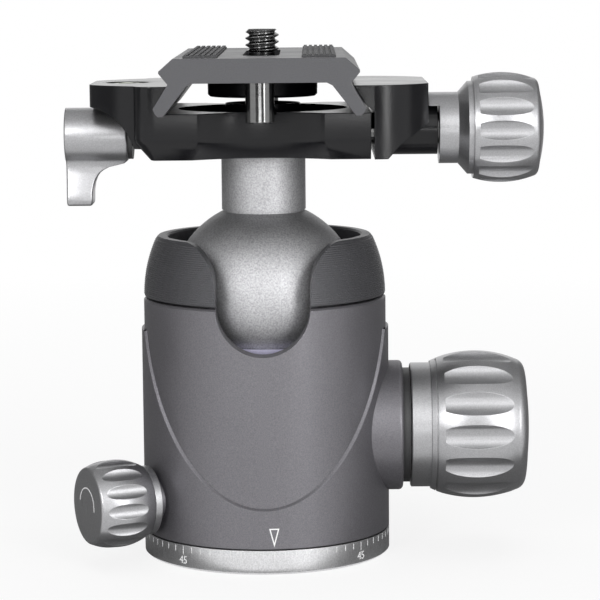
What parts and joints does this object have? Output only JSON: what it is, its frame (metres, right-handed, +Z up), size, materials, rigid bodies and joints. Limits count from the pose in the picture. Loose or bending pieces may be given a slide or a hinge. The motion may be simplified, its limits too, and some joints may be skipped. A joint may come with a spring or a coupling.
{
  "type": "tripod ball head",
  "caption": "Ball head for a tripod: notched barrel with ringed collar, fluted lock knobs, stemmed ball, lever-locked dovetail clamp and sliding camera plate.",
  "frame": {"origin": "centre of the tripod socket in the underside of the base", "axes": "+Z up through barrel, ball and camera screw; -Y the side with the drop notch; +X towards the ball lock knob and the clamp knob"},
  "size_m": [0.0907, 0.062, 0.0999],
  "materials": {
    "barrel_anodise": "fine matt blasted gunmetal anodise",
    "collar_anodise": "dark anodise with fine turned rings",
    "black_anodise": "glossy black anodise",
    "plate_anodise": "satin grey anodise",
    "ball_anodise": "blasted silver anodise",
    "silver_anodise": "satin silver anodise",
    "base_anodise": "satin silver-grey anodise",
    "steel": "turned steel",
    "brass": "turned brass",
    "rubber": "ribbed black rubber",
    "black_plastic": "black acetal",
    "pale_plastic": "pale low-friction plastic",
    "level_plastic": "black ring with a clear window"
  },
  "bodies": {
    "base": {"pan_base": "base_anodise", "tripod_bush": "steel", "pan_retainer": "steel", "retainer_screw_1": "steel", "retainer_screw_2": "steel", "retainer_screw_3": "steel"},
    "housing": {"pan_washer": "black_plastic", "barrel": "barrel_anodise", "collar": "collar_anodise", "friction_ring": "black_plastic", "lock_block": "black_anodise", "cup_spring": "steel", "main_knob_spacer": "black_plastic", "spindle_bush": "brass", "pan_knob_bush": "barrel_anodise"},
    "main_knob": {"main_knob_spindle": "steel", "main_knob_sleeve": "silver_anodise", "main_knob_grip": "silver_anodise", "main_knob_cap": "silver_anodise"},
    "plunger": {"lock_plunger": "steel"},
    "cup": {"ball_cup": "silver_anodise"},
    "pan_knob": {"pan_knob_ring": "silver_anodise", "pan_knob_grip": "silver_anodise", "pan_knob_spindle": "steel"},
    "pan_brake": {"pan_brake_shoe": "brass"},
    "liner": {"slip_liner": "pale_plastic"},
    "ball": {"ball_and_stem": "ball_anodise", "stem_washer": "black_plastic", "stem_retainer": "steel", "stem_screw": "steel"},
    "clamp": {"clamp_body": "black_anodise", "bubble_level": "level_plastic", "jaw_guide_pin_1": "steel", "jaw_guide_pin_2": "steel", "jaw_spring_1": "steel", "jaw_spring_2": "steel"},
    "lever": {"clamp_lever": "silver_anodise", "lever_washer": "black_plastic", "lever_spindle": "steel"},
    "lever_brake": {"clamp_brake": "brass"},
    "jaw": {"moving_jaw": "black_anodise", "clamp_knob_sleeve": "silver_anodise"},
    "clamp_knob": {"clamp_screw": "steel", "clamp_knob_ring": "silver_anodise", "clamp_knob_grip": "silver_anodise"},
    "plate": {"qr_plate": "plate_anodise", "pad_left": "rubber", "pad_right": "rubber", "front_stop_pin": "steel", "rear_stop_pin": "steel"},
    "camera_screw": {"camera_screw": "steel"}
  },
  "joints": [
    {"name": "pan", "type": "hinge", "parent": "base", "child": "housing", "pos_m": [0, 0, 0.0048], "axis": [0, 0, 1], "continuous": true},
    {"name": "main_knob_turn", "type": "hinge", "parent": "housing", "child": "main_knob", "pos_m": [0.03, 0, 0.0238], "axis": [1, 0, 0], "range_deg": [0, 270]},
    {"name": "plunger_slide", "type": "slide", "parent": "housing", "child": "plunger", "axis": [1, 0, 0], "range_m": [0, 0.00075]},
    {"name": "cup_slide", "type": "slide", "parent": "housing", "child": "cup", "axis": [0, 0, 1], "range_m": [-0.0004, 0]},
    {"name": "pan_knob_turn", "type": "hinge", "parent": "housing", "child": "pan_knob", "pos_m": [-0.02673, -0.01362, 0.0118], "axis": [-0.891, -0.454, 0], "range_deg": [0, 180]},
    {"name": "pan_brake_slide", "type": "slide", "parent": "housing", "child": "pan_brake", "axis": [-0.891, -0.454, 0], "range_m": [0, 0.0003]},
    {"name": "ball_roll", "type": "hinge", "parent": "housing", "child": "liner", "pos_m": [0, 0, 0.0493], "axis": [0, 1, 0], "range_deg": [-25, 25]},
    {"name": "ball_tilt", "type": "hinge", "parent": "liner", "child": "ball", "pos_m": [0, 0, 0.0493], "axis": [1, 0, 0], "range_deg": [-25, 90]},
    {"name": "clamp_pan", "type": "hinge", "parent": "ball", "child": "clamp", "pos_m": [0, 0, 0.0763], "axis": [0, 0, 1], "continuous": true},
    {"name": "lever_swing", "type": "hinge", "parent": "clamp", "child": "lever", "pos_m": [-0.03, 0, 0.0801], "axis": [-1, 0, 0], "range_deg": [0, 90]},
    {"name": "lever_brake_slide", "type": "slide", "parent": "clamp", "child": "lever_brake", "axis": [-1, 0, 0], "range_m": [0, 0.0002]},
    {"name": "jaw_slide", "type": "slide", "parent": "clamp", "child": "jaw", "axis": [1, 0, 0], "range_m": [0, 0.003]},
    {"name": "clamp_knob_turn", "type": "hinge", "parent": "jaw", "child": "clamp_knob", "pos_m": [0.04, 0, 0.08095], "axis": [1, 0, 0], "range_deg": [0, 1080]},
    {"name": "plate_slide", "type": "slide", "parent": "clamp", "child": "plate", "axis": [0, 1, 0], "range_m": [-0.0072, 0.0072]},
    {"name": "camera_screw_turn", "type": "hinge", "parent": "plate", "child": "camera_screw", "pos_m": [0, 0, 0.0909], "axis": [0, 0, 1], "continuous": true}
  ],
  "couplings": [
    {"joint": "plunger_slide", "follows": "main_knob_turn", "m_per_rad": 0.00015915},
    {"joint": "cup_slide", "follows": "main_knob_turn", "m_per_rad": -0.00008488},
    {"joint": "pan_knob_turn", "follows": "pan_brake_slide", "rad_per_m": 10472},
    {"joint": "lever_swing", "follows": "lever_brake_slide", "rad_per_m": 7853.9},
    {"joint": "clamp_knob_turn", "follows": "jaw_slide", "rad_per_m": 6283.1}
  ]
}
